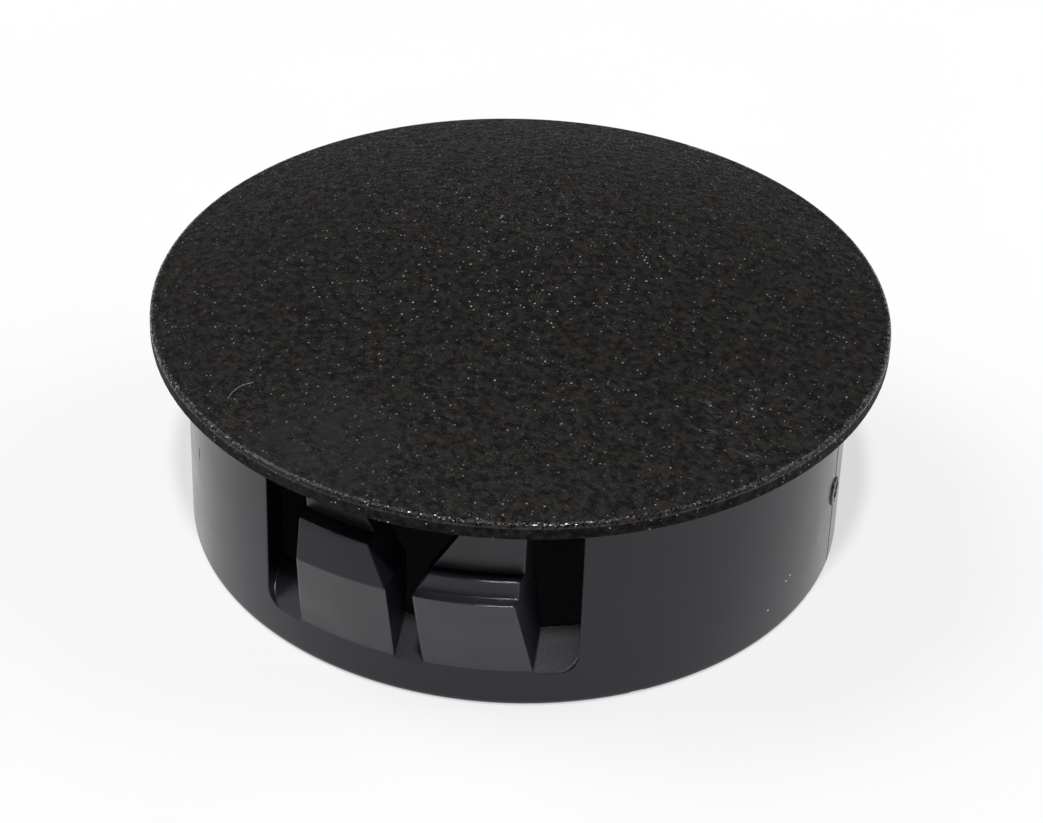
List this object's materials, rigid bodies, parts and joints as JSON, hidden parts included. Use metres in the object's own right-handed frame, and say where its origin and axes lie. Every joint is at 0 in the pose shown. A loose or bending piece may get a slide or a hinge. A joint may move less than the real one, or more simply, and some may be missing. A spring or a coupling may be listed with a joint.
{
  "type": "snap-in hole plug",
  "caption": "Round domed snap-in plug with a hollow cylindrical skirt and latch fingers in side windows, for closing a round hole in a panel.",
  "frame": {"origin": "centre of the head's underside, the ring that seats on the panel", "axes": "+Z out of the panel through the domed head, the skirt runs along -Z; the latch windows face -Y and +Y; the mould's parting line and gate mark are on +X"},
  "size_m": [0.033, 0.033, 0.0129],
  "materials": {
    "black_nylon": "moulded nylon: finely textured head, smooth satin skirt"
  },
  "bodies": {
    "root": {"hole_plug": "black_nylon"}
  },
  "joints": []
}
